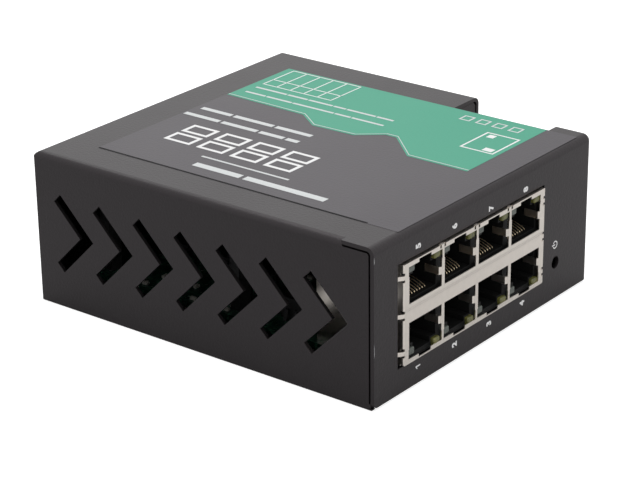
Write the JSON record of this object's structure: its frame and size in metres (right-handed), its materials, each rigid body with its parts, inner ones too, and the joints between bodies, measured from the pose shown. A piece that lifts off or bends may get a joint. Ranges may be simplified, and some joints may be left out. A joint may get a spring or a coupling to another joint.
{
  "type": "DIN rail ethernet switch",
  "caption": "Compact DIN rail ethernet switch: folded black steel case with arrow-shaped vents, stacked network sockets, green and grey label, recessed power terminals.",
  "frame": {"origin": "middle of the whole part's bounding box, on the underside", "axes": "+X out of the ported front, +Y from the slotted wall to the terminal wall, +Z from the underside to the label face"},
  "size_m": [0.1098, 0.1014, 0.0404],
  "materials": {
    "case_paint": "fine satin powder coat",
    "label_print": "matte film",
    "tin_plate": "bright tin",
    "black_plastic": "moulded",
    "contact_gold": "bright",
    "pipe_green": "clear",
    "pipe_yellow": "clear",
    "board_green": "solder mask",
    "component_black": "moulded",
    "plated_steel": "zinc",
    "terminal_green": "moulded",
    "can_sleeve": "sleeve",
    "spring_steel": "bright",
    "clear_film": "film"
  },
  "bodies": {
    "housing": {"housing_pan": "case_paint", "housing_cover": "case_paint", "cover_screws": "plated_steel", "insulating_sheet": "clear_film", "long_spacers": "plated_steel", "short_spacers": "plated_steel", "label_overlay": "label_print", "jack_shield": "tin_plate", "jack_housing": "black_plastic", "contact_modules": "black_plastic", "contacts_upper_row": "contact_gold", "contacts_lower_row": "contact_gold", "light_pipes_left": "pipe_green", "light_pipes_right": "pipe_yellow", "main_board": "board_green", "capacitors": "can_sleeve", "switch_chip": "component_black", "magnetics": "component_black", "power_inductors": "component_black", "crystal": "plated_steel", "regulator": "component_black", "flash_chip": "component_black", "fuse": "component_black", "surge_diodes": "component_black", "chip_parts": "component_black", "power_light": "pipe_green", "light_holder": "black_plastic", "terminal_header": "terminal_green", "header_pins": "plated_steel", "clip_plate": "plated_steel", "latch_spring": "spring_steel", "clip_screws": "plated_steel", "press_nuts": "plated_steel"},
    "clip_latch": {"clip_latch": "plated_steel"},
    "terminal_plug": {"terminal_plug": "terminal_green", "wire_clamps": "plated_steel", "clamp_screws": "plated_steel"}
  },
  "joints": [
    {"name": "latch_slide", "type": "slide", "parent": "housing", "child": "clip_latch", "axis": [0, 1, 0], "range_m": [0, 0.004], "stiffness_N_per_m": 1500, "springref_m": -0.004, "deforming": ["latch_spring"]},
    {"name": "plug_slide", "type": "slide", "parent": "housing", "child": "terminal_plug", "axis": [0, 1, 0], "range_m": [0, 0.01]}
  ]
}
